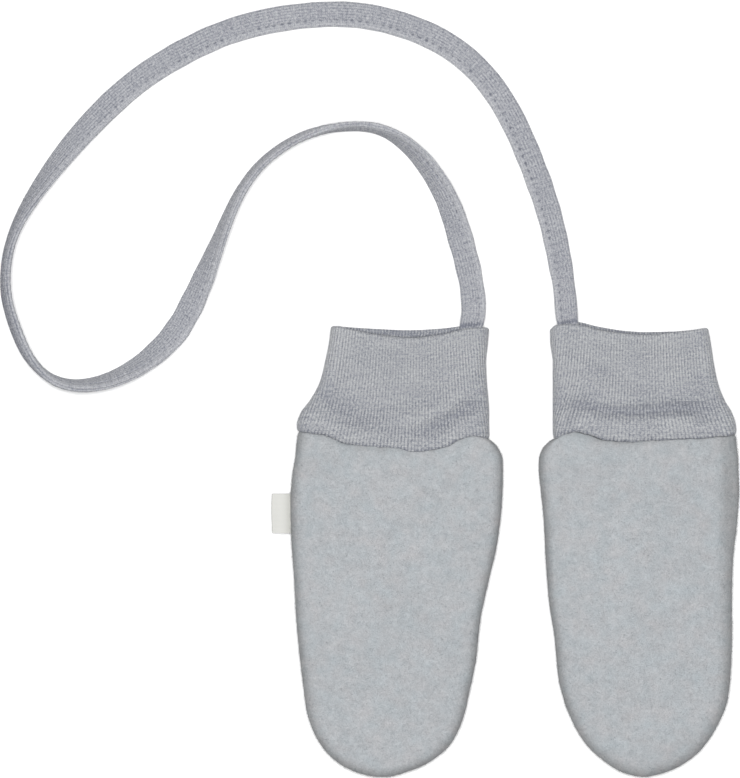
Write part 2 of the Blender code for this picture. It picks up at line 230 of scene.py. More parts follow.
def waves(x, y, size, seed):
    """A soft uneven height from -1 to 1: eight sine waves about that long, in seeded directions."""
    picked = np.random.default_rng(seed)
    turn = picked.uniform(0, np.pi, 8)
    length = size * picked.uniform(0.7, 1.6, 8)
    start = picked.uniform(0, 2 * np.pi, 8)
    across = x[..., None] * np.cos(turn) + y[..., None] * np.sin(turn)
    return np.sin(2 * np.pi * across / length + start).sum(axis=-1) / 4


# %% [markdown]
# ## Node helpers
# Every finish is procedural. Short functions make the nodes that are wanted often and join their
# inputs, whether these are numbers or other nodes' outputs.

# %% Node helpers
def finish_of(name, roughness, sheen):
    """A new material and its node tree and shader. Sheen and roughness are plain numbers."""
    made = bpy.data.materials.new(name)
    made.use_nodes = True
    shader = made.node_tree.nodes["Principled BSDF"]
    for title, value in (("Roughness", roughness), ("Specular IOR Level", 0.2),
                         ("Sheen Weight", sheen), ("Sheen Roughness", 0.5)):
        shader.inputs[title].default_value = value
    return made, made.node_tree, shader


def feed(tree, value, socket):
    """Join another node's output to an input, or set the input to a number."""
    if isinstance(value, bpy.types.NodeSocket):
        tree.links.new(value, socket)
    else:
        socket.default_value = value


def add_node(tree, kind, *inputs, **settings):
    """A new node of that kind with these settings, and with these inputs from its first one on."""
    step = tree.nodes.new("ShaderNode" + kind)
    for setting, value in settings.items():
        setattr(step, setting, value)
    for value, socket in zip(inputs, step.inputs):
        feed(tree, value, socket)
    return step


def maths(tree, operation, *values):
    return add_node(tree, "Math", *values, operation=operation).outputs[0]


def times(tree, value, factor, plus=None):
    """One node that gives value times factor, and adds a third number where one is wanted."""
    if plus is None:
        return maths(tree, "MULTIPLY", value, factor)
    return maths(tree, "MULTIPLY_ADD", value, factor, plus)


def mixture(tree, less, *weighed):
    """The sum of values times their weights, less one more value, kept between 0 and 1."""
    total = times(tree, *weighed[0])
    for value, weight in weighed[1:]:
        total = times(tree, value, weight, total)
    total = maths(tree, "SUBTRACT", total, less)
    total.node.use_clamp = True
    return total


def carried(tree, title):
    """The number that a mesh carries under that title, as make_piece stored it."""
    return add_node(tree, "Attribute", attribute_name=title).outputs["Fac"]


def object_place(tree):
    """Where the shaded point lies on its piece, in metres."""
    return add_node(tree, "TexCoord").outputs["Object"]


def noise(tree, where, scale, detail=2.0, roughness=0.5):
    """Noise from about 0.25 to 0.75, whose patches are about one over scale across."""
    return add_node(tree, "TexNoise", where, 0, scale, detail, roughness).outputs["Fac"]


def between(tree, share, dark, light):
    """The colour that lies that share of the way from dark to light."""
    step = add_node(tree, "Mix", data_type="RGBA")
    feed(tree, share, step.inputs["Factor"])
    step.inputs["A"].default_value = (*dark, 1)
    step.inputs["B"].default_value = (*light, 1)
    return step.outputs["Result"]


def tinted(tree, colour, share, one, other):
    """That colour times a tint that lies that share of the way from one tint to the other."""
    step = add_node(tree, "Mix", data_type="RGBA", blend_type="MULTIPLY")
    step.inputs["Factor"].default_value = 1
    feed(tree, colour, step.inputs["A"])
    feed(tree, between(tree, share, one, other), step.inputs["B"])
    return step.outputs["Result"]


def raise_by(tree, shader, height, distance):
    """Bump: the surface is lit as if it rose by distance, in metres, where height is 1."""
    step = add_node(tree, "Bump")
    step.inputs["Distance"].default_value = distance
    feed(tree, height, step.inputs["Height"])
    tree.links.new(step.outputs["Normal"], shader.inputs["Normal"])


# %% [markdown]
# ## The jersey
# The stitches of this fine knit stand in columns, the wales, as rows of small Vs. The wales are
# ridges in the meshes. The Vs are finer, so they are bump, drawn in the stitches' own map: one unit
# across is one wale, and one unit along is one stitch. The yarn is uneven, which leaves short pale
# and dark streaks across the wales.

# %% Jersey finish
V_LEAN = 1.1  # stitches that a leg of the V would rise over a whole wale
STREAK_SCALE = 0.11
JERSEY_BUMP = 0.00028  # metres


def jersey_finish(name, dark, light, wale_tone):
    """Jersey between two tones; wale_tone is how plainly the wales show as lines. A wale is a
    cosine across, and a V is a cosine along that leans with the distance from the wale's middle."""
    made, tree, shader = finish_of(name, 0.92, 0.12)
    chart = add_node(tree, "UVMap", uv_map="stitches").outputs[0]
    wale, course, _ = add_node(tree, "SeparateXYZ", chart).outputs
    place = maths(tree, "FRACT", wale)
    turn = times(tree, place, 2 * np.pi)
    ridge = times(tree, maths(tree, "COSINE", turn), -0.5, 0.5)
    lean = maths(tree, "ABSOLUTE", maths(tree, "SUBTRACT", place, 0.5))
    row = times(tree, times(tree, lean, V_LEAN, course), 2 * np.pi)
    stitch = times(tree, maths(tree, "COSINE", row), 0.5, 0.5)
    legs = times(tree, maths(tree, "SINE", turn), maths(tree, "SINE", turn))
    # sunk is the painted shading that the mesh carries: painted shade above 0, painted highlight
    # below
    sunk = carried(tree, "painted_shading")
    # the wales show as lines in patches, and more plainly where painted shade is laid on
    patches = noise(tree, object_place(tree), 95, 1.0)
    plain = times(tree, sunk, 3.0, times(tree, patches, 3.2, -1.0))
    plain.node.use_clamp = True
    lines = times(tree, times(tree, ridge, plain), wale_tone)
    shape = times(tree, times(tree, stitch, ridge), 0.45, times(tree, legs, 0.2, lines))
    along_row = add_node(tree, "CombineXYZ", times(tree, wale, STREAK_SCALE), course).outputs[0]
    streak = noise(tree, along_row, 0.8, 2.0, 0.6)
    each = add_node(tree, "CombineXYZ", wale, times(tree, course, 0.55)).outputs[0]
    uneven = noise(tree, each, 1.5, 3.0, 0.8)
    # painted shade and painted highlight: the painted shading darkens or lightens the jersey's
    # colour
    share = mixture(tree, times(tree, sunk, 0.9, 1.19),
                    (streak, 0.5), (shape, 0.6), (uneven, 2.45))
    tree.links.new(between(tree, share, dark, light), shader.inputs["Base Color"])
    raise_by(tree, shader, times(tree, uneven, 0.5, shape), JERSEY_BUMP)
    return made


DARK_YARN = (0.156, 0.165, 0.198)
cuff_jersey = jersey_finish("slubby jersey of the cuffs", DARK_YARN, (0.480, 0.488, 0.492), 0.36)
band_jersey = jersey_finish("jersey of the band", DARK_YARN, (0.476, 0.481, 0.500), 0.18)
print("jersey finishes", cuff_jersey.name, "and", band_jersey.name)

# %% [markdown]
# ## The fleece
# Brushing pulls loose fibre ends out of a knit until the stitches disappear under a short nap. The
# cloth is spun from pale and dark wool, so it is mottled, in soft patches, a finer grain and few
# dark specks. The shade on the rounded sides, along the seam and in sharp creases is painted into
# the colour, so the panels carry a number that says how much painted shade lies there.

# %% Fleece finish
FLEECE_BUMP = 0.00035  # metres
# the tint of the painted shade on the fleece
PAINTED_SHADE_TINT = (0.66, 0.65, 0.64)


def fleece_finish(name, dark, light):
    """Fleece between two tones: noise of four sizes, less the specks, with a faint second tint."""
    made, tree, shader = finish_of(name, 0.97, 0.1)
    where = object_place(tree)
    cloudy = noise(tree, where, 75)
    mottled = noise(tree, where, 260)
    patchy = noise(tree, where, 700, 3.0, 0.7)
    grain = noise(tree, where, 2300, 2.0, 0.7)
    specks = noise(tree, where, 1300, 1.0)
    speck = times(tree, maths(tree, "SUBTRACT", specks, 0.67), 9.0)
    speck.node.use_clamp = True
    share = mixture(tree, times(tree, speck, 0.6, 1.015),
                    (patchy, 0.85), (cloudy, 0.25), (mottled, 0.5), (grain, 1.5))
    tone = tinted(tree, between(tree, share, dark, light), noise(tree, where, 160),
                  (0.93, 1, 1.02), (1.07, 1, 0.98))
    # painted shade: the number that the panels carry darkens the fleece towards that tint
    tone = tinted(tree, tone, carried(tree, "painted_shading"), (1, 1, 1), PAINTED_SHADE_TINT)
    tree.links.new(tone, shader.inputs["Base Color"])
    raise_by(tree, shader, times(tree, grain, 0.5, patchy), FLEECE_BUMP)
    return made


fleece = fleece_finish("brushed wool fleece", (0.253, 0.267, 0.280), (0.430, 0.446, 0.462))

# %% [markdown]
# Each loose fibre has one tone between two colours, which its faces carry as a number. Over the
# fleece's painted shade that number is lowered, so the fibres carry the painted shade too.

# %% Nap finish
nap, tree, nap_shader = finish_of("loose fleece fibres", 0.9, 0.1)
fibre_tone = between(tree, carried(tree, "shade"), (0.17, 0.18, 0.19), (0.50, 0.52, 0.54))
feed(tree, fibre_tone, nap_shader.inputs["Base Color"])

# %% [markdown]
# ## The band's route
# The band leaves the right mitten's cuff, lies flat with its stitched edge inwards, stands on its
# edge round the far left bend, turns over along the bottom, and comes back over the inner bend into
# the left mitten's cuff. A table gives its places, its turn about its own line, how high it is
# lifted where it goes into a cuff, and how far it is gathered there.

# %% Route of the band
ROUTE = np.array([(*row, *(0, 0, 1)[len(row) - 2:]) for row in (
    # x, y, and the turn in degrees, lift and gather where they aren't 0, 0 and 1
    (23.6, 77.5, 0, 2.4, 0.76), (23.4, 82, 0, 2.4, 0.78), (22.9, 86.5, 0, 2, 0.88),
    (22.4, 93, 0, 0.6, 0.87), (20.7, 105, 0, 0, 0.92), (17.4, 120.8, 0, 0, 0.96), (10, 143),
    (0.2, 164), (-11, 178.7), (-24, 188.4), (-38.9, 194.6), (-55.5, 198), (-72.2, 197.9),
    (-88.8, 195.5), (-105.4, 190.6), (-120.2, 183.6), (-135, 174.3, 3), (-149.8, 161.2, 14),
    (-164.8, 144.2, 39), (-174.2, 131, 60), (-181.2, 118.2, 75), (-184.4, 106.4, 80),
    (-184.3, 93.1, 78), (-180.8, 80.8, 77), (-174.7, 69.2, 84), (-165.9, 62.2, 98),
    (-155.3, 60.7, 110), (-142.3, 64.2, 126), (-131.1, 71.2, 143), (-121.8, 80.7, 160),
    (-115.1, 92.6, 157), (-108.9, 107, 131), (-102.9, 121.8, 111), (-95.3, 136.3, 103),
    (-85, 146.9, 101), (-72.9, 153.6, 97), (-59.2, 156.6, 84), (-46.2, 155.4, 78),
    (-36.8, 150.3, 64), (-28.2, 141.1, 47), (-21.3, 129.3, 34), (-16.5, 115.4, 16),
    (-13.1, 102.3, 4, 0, 0.97), (-11.6, 92, 0, 0.6, 0.96), (-11.8, 86, 0, 2, 0.95),
    (-12.7, 81.6, 0, 2.4, 0.86), (-12.9, 77, 0, 2.4, 0.74),
)])
BAND_WIDTH = 9.4
BAND_THICKNESS = 2.6
STITCH_PITCH = 2.95
ROWS_PER_STITCH = 4

stops_gone = gone_along(ROUTE[:, :2])
fine = flowing(np.linspace(0, stops_gone[-1], 4000), stops_gone, ROUTE)
fine_gone = gone_along(fine[:, :2])
band_length = fine_gone[-1]
row_count = int(band_length / STITCH_PITCH * ROWS_PER_STITCH)
row_gone = np.arange(row_count) * STITCH_PITCH / ROWS_PER_STITCH
route = np.stack([np.interp(row_gone, fine_gone, column) for column in fine.T], axis=1)
turn = np.radians(route[:, 2])
gather = np.clip(route[:, 4], 0, 1)
flat_part = (BAND_WIDTH - BAND_THICKNESS) / 2
rest = BAND_THICKNESS / 2 + flat_part * np.abs(np.sin(turn)) + 0.1
centre = np.stack([route[:, 0], route[:, 1], rest + np.clip(route[:, 3], 0, None)], axis=1)
print("band", round(band_length, 1), "mm long,", row_count, "rows")

# %% [markdown]
# ## The band
# It is a strip of jersey folded lengthwise, with one row of topstitches 2.5 mm from its open edge.
# A curve with a bevel would be quicker, but it has no room for the groove that the stitches pull
# into both faces. So the section is an array that is carried along the route: at each row, one arm
# points to the stitched edge and the other out of the upper face.

# %% Band surface
BAND_WALES = 20
POINTS_PER_WALE = 5
COURSE = 0.79
STITCH_LINE = BAND_WIDTH / 2 - 2.5
GROOVE_WIDTH = 0.55
FAR_BEND, FAR_BEND_REACH = 345, 40
OVAL_POWER = 0.55
GATHER_PITCH = 1.05
WALE_RIDGE = 0.02
TIGHTNESS = np.array([  # millimetres along the band, how tight its topstitches are drawn
    (0, 0.6), (40, 0.7), (90, 0.85), (190, 0.85), (240, 0.6), (300, 0.2), (480, 0.15), (560, 0.45),
    (605, 0.35), (620, 0.12)])

forward = np.gradient(centre, axis=0)
forward /= np.linalg.norm(forward, axis=1)[:, None]
sideways = np.cross((0, 0, 1), forward)
sideways /= np.linalg.norm(sideways, axis=1)[:, None]
upwards = np.cross(forward, sideways)
to_stitches = sideways * np.cos(turn)[:, None] + upwards * np.sin(turn)[:, None]
to_face = upwards * np.cos(turn)[:, None] - sideways * np.sin(turn)[:, None]


def strip_section(count):
    """Points at equal steps round a flat oval: width times cosine and thickness times sine, each
    raised to a power below 1, which squares the oval up."""
    angle = np.linspace(0, 2 * np.pi, 4001)
    across = BAND_WIDTH / 2 * np.sign(np.cos(angle)) * np.abs(np.cos(angle)) ** OVAL_POWER
    out = BAND_THICKNESS / 2 * np.sign(np.sin(angle)) * np.abs(np.sin(angle)) ** OVAL_POWER
    gone = np.concatenate([[0], np.cumsum(np.hypot(np.diff(across), np.diff(out)))])
    at = np.linspace(0, gone[-1], count + 1)
    return np.interp(at, gone, across), np.interp(at, gone, out)


section_across, section_out = strip_section(BAND_WALES * POINTS_PER_WALE)
along = row_gone[:, None]
across = np.broadcast_to(section_across, (row_count, len(section_across)))
out = np.broadcast_to(section_out, across.shape)
uneven = np.random.default_rng(9).uniform(0.25, 1.15, row_count // ROWS_PER_STITCH + 2)
nearest = np.round(along / STITCH_PITCH).astype(int)
tightness = np.interp(along, *TIGHTNESS.T)
hole = np.cos(np.pi * along / STITCH_PITCH) ** 8 * uneven[nearest] * tightness
groove = bell(across - STITCH_LINE, GROOVE_WIDTH) * (0.30 + 0.5 * hole)
lip = 0.12 / (1 + np.exp(-(across - STITCH_LINE - 0.6) * 3))
pucker = bell(across - STITCH_LINE, 2.2) * np.cos(2 * np.pi * along / STITCH_PITCH)
soft = waves(along, across * 1.5, 22, 5) * 0.10 + waves(along, across, 7, 6) * 0.05
wale_at = np.arange(len(section_across)) / POINTS_PER_WALE
ridge = WALE_RIDGE * (0.5 - 0.5 * np.cos(2 * np.pi * wale_at))
face = np.sign(out) * np.minimum(np.abs(out) / (BAND_THICKNESS / 2), 1)
fuller = 1 - groove * 0.62 - lip
far_bend = bell(along - FAR_BEND, FAR_BEND_REACH)
squeeze = (np.interp(gather, (0.7, 1), (0.85, 1)) * (1 + 0.2 * np.sin(turn) ** 4))[:, None]
squeeze = squeeze * (1 + 0.14 * far_bend)
between_layers = np.clip(across / (BAND_WIDTH / 2), 0, 1) ** 16 * bell(section_out, 0.3)
out = out * fuller * squeeze + face * (ridge + soft - 0.09 * pucker)
tip_side = np.sign(across) * np.clip(np.abs(across) / (BAND_WIDTH / 2), 0, 1) ** 8
across = across * gather[:, None] + tip_side * (0.10 * waves(along, across * 0, 9, 7) + ridge)
across = across - 0.3 * between_layers
# root: where the band is gathered in the mouth of a cuff, straight in the right and slanting in the
# left one. The painted shading says how dark a point is painted: painted shade in the needle holes,
# along the stitches, at the roots, between the layers, where the band stands on edge and round the
# far bend; below 0 a painted highlight beyond the stitch line, where it catches the light.
root = bell(along - 6.7, 0.6) + bell(along - band_length + 6.1 + 0.31 * across, 0.65)
drawn = 0.5 + 0.5 * np.cos(2 * np.pi * across / GATHER_PITCH)
out = out * (1 - root * (0.25 + 0.3 * drawn))
painted_shading = groove * hole + root * (0.4 + 0.6 * drawn) + 0.1 * groove - 1.8 * lip
painted_shading = painted_shading + 0.2 * between_layers * (0.5 + waves(along, across * 0, 14, 8))
painted_shading = painted_shading + 0.07 * np.sin(turn[:, None]) ** 4 * (section_out > -0.8) * (section_across < 4.4)
painted_shading = painted_shading + far_bend * (0.32 * (section_out > -0.2) + 0.2 * (section_out < -1.0))
band_points = (centre[:, None] + across[..., None] * to_stitches[:, None]
               + out[..., None] * to_face[:, None])
# both ends are closed by one more row each, whose points all lie at the middle of the last one
first, last = (np.full_like(row, row.mean(axis=0))[None] for row in band_points[[0, -1]])
band_grid = np.concatenate([first, band_points, last])
band_uv = np.dstack(np.broadcast_arrays(wale_at, along / COURSE))
band_uv = np.pad(band_uv, ((1, 1), (0, 0), (0, 0)), "edge")
painted_shading = np.pad(painted_shading, ((1, 1), (0, 0)), "edge")
band = make_piece("joining_band", band_grid, grid_faces(*band_grid.shape[:2]), band_jersey,
                  uv=band_uv, painted_shading=painted_shading)
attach(band, "root")
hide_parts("band")

# %% [markdown]
# The topstitches lie in the groove, one thread length between two needle holes, on both faces. Each
# is a thin capsule that dives at its ends. One capsule is worked out once, and a single array sum
# puts a copy at every stitch.

# %% Topstitches
def capsules(start, end, face_out, radius, arch, rings=5, sides=6):
    """Closed capsules from start to end. Along each, the middle line rises by arch times a sine,
    and the radius is that of an ellipse. Every array has a row for each stitch."""
    t = np.linspace(0, 1, rings + 2)[None, :, None, None]
    angle = np.linspace(0, 2 * np.pi, sides + 1)[None, None, :, None]
    axis = end - start
    axis = axis / np.linalg.norm(axis, axis=1)[:, None]
    side = np.cross(axis, face_out)[:, None, None]
    top = np.cross(side[:, 0, 0], axis)[:, None, None]
    middle = start[:, None, None] * (1 - t) + end[:, None, None] * t
    middle = middle + top * arch * np.sin(np.pi * t)
    size = radius * np.sqrt(np.clip(1 - (2 * t - 1) ** 2, 0, 1))
    rounded = middle + size * (side * np.cos(angle) + top * np.sin(angle))
    cell = grid_faces(rings + 2, sides + 1)
    count = (rings + 2) * (sides + 1)
    faces = (cell[None] + count * np.arange(len(start))[:, None, None]).reshape(-1, 4)
    return rounded, faces


THREAD_RADIUS = 0.24
THREAD_ARCH = 0.34
NEEDLE_GAP = 0.35
SEAT_SHARE = 0.52

thread, tree, thread_shader = finish_of("grey sewing thread", 0.7, 0.1)
thread_shader.inputs["Base Color"].default_value = (0.35, 0.357, 0.385, 1)
needle = np.arange(4, row_count // ROWS_PER_STITCH - 4) * ROWS_PER_STITCH
stitch_ends = []
for face_side in (1, -1):
    seat = centre + to_stitches * (STITCH_LINE * gather)[:, None]
    seat = seat + face_side * to_face * (BAND_THICKNESS / 2 * SEAT_SHARE)
    near = seat[needle] + forward[needle] * NEEDLE_GAP
    far = seat[needle + ROWS_PER_STITCH] - forward[needle + ROWS_PER_STITCH] * NEEDLE_GAP
    stitch_ends.append((near, far, face_side * to_face[needle]))
near, far, face_out = (np.concatenate(part) for part in zip(*stitch_ends))
stitch_points, stitch_faces = capsules(near, far, face_out, THREAD_RADIUS, THREAD_ARCH)
topstitches = make_piece("band_topstitches", stitch_points, stitch_faces, thread)
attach(topstitches, "root")

# %% [markdown]
# ## The mittens' tables
# Both mittens are cut alike but lie a little differently, so each has its own table: how far the
# cloth reaches to the left and right of a line along the mitten, the round of the tip, and the
# lines of the seam and of the mouth, at shares of the width from the left. Plumb is where a wale of
# the cuff stands upright, pitch is how far apart the wales are at the seam, half way up and at the
# mouth, and the pair after pitch is how far the painted shade of the sides reaches in from the left
# and the right side seam.

# %% Tables of the mittens
LEFT = dict(
    name="left", axis=-41.0, plumb=-29.6, pitch=(1.28, 1.12, 1.03), painted_shade=(2.3, 2.3),
    body=np.array([  # along, left, right
        (41, 35.5, 35.5), (37, 36.1, 38.8), (33, 36.5, 40.2), (25.5, 37.8, 40.2),
        (18, 38.4, 39.9), (3.5, 38, 38.3), (-11.5, 37, 35), (-26, 36.2, 31.9),
        (-41, 34.8, 30.2), (-55.5, 33, 27.2)]),
    tip=np.array([  # angle from the left, reach
        (0, 30.1), (20, 29.5), (45, 29.5), (70, 29.1), (90, 28.7), (108, 27.8), (125, 28.1),
        (145, 28.9), (163, 29.1), (180, 30.1)]),
    seam=np.array([  # across, along
        (0, 43.8), (0.15, 42), (0.26, 39), (0.5, 37.6), (0.62, 36.2), (0.77, 37.9),
        (0.85, 40.9), (0.93, 42), (1, 40.9)]),
    cuff=np.array([  # along, left, right
        (83, 23.4, 35.1), (77.5, 24.1, 34.7), (70, 25.6, 34), (62.5, 27.5, 34.3),
        (55.5, 31.2, 34.9), (51, 34.5, 35.1), (46, 36, 35.1), (40.5, 35.6, 35.3)]),
    ditch=np.array([  # across, how deep the seam lies
        (0, 0.7), (0.2, 0.75), (0.27, 0.8), (0.31, 0.22), (0.45, 0.15), (0.62, 0.25), (0.74, 0.35),
        (0.85, 0.3), (0.93, 0.4), (1, 0.8)]),
    mouth_front=np.array([
        (0, 82.7), (0.05, 82.6), (0.1, 81.9), (0.28, 79.6), (0.5, 78.3), (0.7, 79.6),
        (0.88, 81.9), (1, 82.2)]),
    mouth_back=np.array([
        (0, 82.7), (0.06, 82.5), (0.25, 81.8), (0.5, 81.2), (0.7, 81.8), (0.85, 82.7), (1, 82.2)]),
)
RIGHT = dict(
    name="right", axis=49.5, plumb=50.0, pitch=(1.41, 1.14, 1.06), painted_shade=(2.2, 3.5),
    body=np.array([
        (41, 32.1, 36), (37, 35.7, 36.3), (33, 36.9, 36.7), (29.5, 36.9, 36.9),
        (22, 36.2, 37.1), (11, 35.1, 36.5), (-4, 34.3, 34.9), (-18.5, 33.2, 34.5),
        (-33.5, 31, 34.5), (-48.5, 29.5, 33.8), (-55.5, 27.7, 33)]),
    tip=np.array([
        (0, 30.35), (16, 28.4), (33, 27.7), (52, 27.5), (72, 28.3), (88, 28.7), (101, 28.1),
        (125, 27.6), (146, 27.7), (164, 28.5), (180, 30.35)]),
    seam=np.array([
        (0, 40.9), (0.11, 43.4), (0.2, 42.4), (0.28, 40.4), (0.4, 39.8), (0.6, 40.5),
        (0.8, 41.1), (1, 42.4)]),
    cuff=np.array([
        (84.4, 32.8, 25.4), (77.5, 32.6, 26.7), (70, 31.7, 27.8), (62.5, 31.7, 29.3),
        (55.5, 31.7, 31.9), (51, 31.7, 34.5), (46, 31.7, 36), (40.5, 31.5, 36.3)]),
    ditch=np.array([
        (0, 0.8), (0.1, 0.7), (0.2, 0.6), (0.35, 0.6), (0.6, 0.5), (0.8, 0.6), (1, 0.8)]),
    mouth_front=np.array([
        (0, 81.9), (0.02, 82.9), (0.12, 83.4), (0.2, 82.9), (0.3, 81.3), (0.47, 79.9), (0.6, 79.4),
        (0.78, 80.3), (1, 82)]),
    mouth_back=np.array([
        (0, 81.9), (0.02, 82.9), (0.08, 83.6), (0.16, 84.3), (0.3, 82.6), (0.47, 81), (0.6, 80.5),
        (0.78, 80.7), (1, 82)]),
)
SIDE_SEAM = 3.7
BODY_TOP = 7.8
BODY_CROWN = 0.4
EDGE_ROUND = 5.0
SEAM_SWAY = 26.0
SEAM_LAP = 0.06
SEAM_DRAW = 1.35
# painted shade along the seam: its strength at shares across, and how far it reaches down the
# fleece
SEAM_PAINTED_SHADE = np.array([(0, 0.1), (0.3, 0.55), (0.5, 0.4), (0.65, 0.12), (0.85, 0.2), (1, 0.1)])
SEAM_PAINTED_SHADE_REACH = 1.8


def edge_at(edge, share):
    """The second column of a table at a share in its first."""
    return steady(share, edge[:, 0], edge[:, 1])


def seam_at(mitten, share, is_front):
    """The seam between body and cuff: wavy in front, straight from side to side behind."""
    seam = mitten["seam"]
    front = edge_at(seam, share) + 0.16 * waves(78 * share, 0 * share, 6, 31)
    return np.where(is_front, front, seam[0, 1] * (1 - share) + seam[-1, 1] * share)


def side_edges(mitten, table_name, at):
    """The x of the left and the right side at each height."""
    sides = mitten[table_name]
    left = mitten["axis"] - steady(at, sides[:, 0], sides[:, 1])
    right = mitten["axis"] + steady(at, sides[:, 0], sides[:, 2])
    return left, right


# %% [markdown]
# ## The fleece panels
# Each mitten is two panels sewn together and turned, so that the seam sits in a small ditch half
# way up its sides. A panel is a grid: one way runs round its outline, down one side, round the tip
# and up the other, and the other way runs from the ditch over the rounded side to the middle. The
# wall's thickness grows from nothing at the ditch, which closes the panel's edge.

# %% Dents and creases
# A soft trough in cloth: middle x and y, length, width, angle in degrees, and depth, which is
# negative for a ridge. Each is listed.
DENTS = dict(
    left_front=np.array([
        (-52, 29, 16, 4.5, 8, 0.45), (-30, 31, 12, 3.5, -22, 0.4), (-22, 12, 18, 6, 70, 0.3),
        (-60, -8, 22, 7, 80, 0.25), (-38, -52, 18, 8, 20, 0.3), (-48, 6, 20, 9, 35, -0.25),
        (-33, -25, 18, 8, -50, -0.2)]),
    right_front=np.array([
        (34, 33, 12, 4, 38, 0.4), (62, 30, 18, 5, -6, 0.4), (72, 8, 20, 6, 85, 0.3),
        (36, -12, 22, 7, -78, 0.25), (55, -55, 17, 8, -15, 0.3), (50, 5, 20, 9, -30, -0.25),
        (82, 8, 48, 8, 88, 0.8), (82.6, 22, 25, 2.5, 90, 0.9), (44, -34, 16, 8, 55, -0.2)]),
    left_back=np.array([
        (-47, 24, 15, 5, -12, 0.35), (-28, -14, 20, 5, 64, 0.3), (-55, -36, 16, 6, -40, 0.3)]),
    right_back=np.array([
        (56, 20, 16, 5, 15, 0.35), (38, -20, 18, 5, -68, 0.3), (60, -44, 15, 6, 35, 0.3)]),
)


def dent_depth(dents, x, y):
    """Each dent is its depth times two bell curves, a long one along it and a short one across.
    The sum over all dents is one array operation."""
    dx, dy = x[..., None] - dents[:, 0], y[..., None] - dents[:, 1]
    bearing = np.radians(dents[:, 4])
    lengthwise = dx * np.cos(bearing) + dy * np.sin(bearing)
    over = dy * np.cos(bearing) - dx * np.sin(bearing)
    bells = np.exp(-((lengthwise / dents[:, 2]) ** 2) - (over / dents[:, 3]) ** 2)
    return (dents[:, 5] * bells).sum(axis=-1)


# %% Panel surface
PANEL_WALL = 1.7
CURL = 1.1
ROLL = 1.9
TIP_ROWS = 56


def panel_profile():
    """From the ditch to the flat: inset from the outline, rise over the seam as millimetres of a
    curl and a share of what is left, and the share of the wall. A quarter circle of the curl's
    radius leads into a quarter ellipse, both by sine and cosine."""
    a, b = np.linspace(0, np.pi / 2, 6)[:-1], np.linspace(0, np.pi / 2, 10)
    inset = np.concatenate([CURL * (1 - np.sin(a)), EDGE_ROUND * (1 - np.cos(b))])
    curl_rise = np.concatenate([CURL * (1 - np.cos(a)), np.full(len(b), CURL)])
    share = np.concatenate([np.zeros(len(a)), np.sin(b)])
    wall = np.clip(np.linspace(0, 2.2, len(inset)), 0, 1) ** 0.7
    return inset, curl_rise, share, wall


def panel_outline(mitten):
    """The outline and, for each of its points, the point on the middle line that it faces."""
    top, tip_at = mitten["body"][0, 0], mitten["body"][-1, 0]
    near_seam = [0, 0.12, 0.3, 0.55, 0.85, 1.2, 1.6, 2.1, 2.8, 3.6, 4.6]
    away = np.concatenate([near_seam, np.linspace(5.7, top - tip_at, 74)])
    at = top - away
    left, right = side_edges(mitten, "body", at)
    spine = np.stack([(left + right) / 2, at], axis=1)
    angle = np.linspace(0, 180, TIP_ROWS + 1)[1:-1]
    reach = steady(angle, mitten["tip"][:, 0], mitten["tip"][:, 1])
    bearing = np.radians(angle)
    tip = spine[-1] - reach[:, None] * np.stack([np.cos(bearing), np.sin(bearing)], axis=1)
    sides = np.stack([left, at], axis=1), np.stack([right, at], axis=1)[::-1]
    edge = np.concatenate([sides[0], tip, sides[1]])
    facing = np.concatenate([spine, np.repeat(spine[-1:], len(tip), axis=0), spine[::-1]])
    from_seam = np.concatenate([away, np.full(len(tip), away[-1]), away[::-1]])
    return edge, facing, from_seam[:, None]


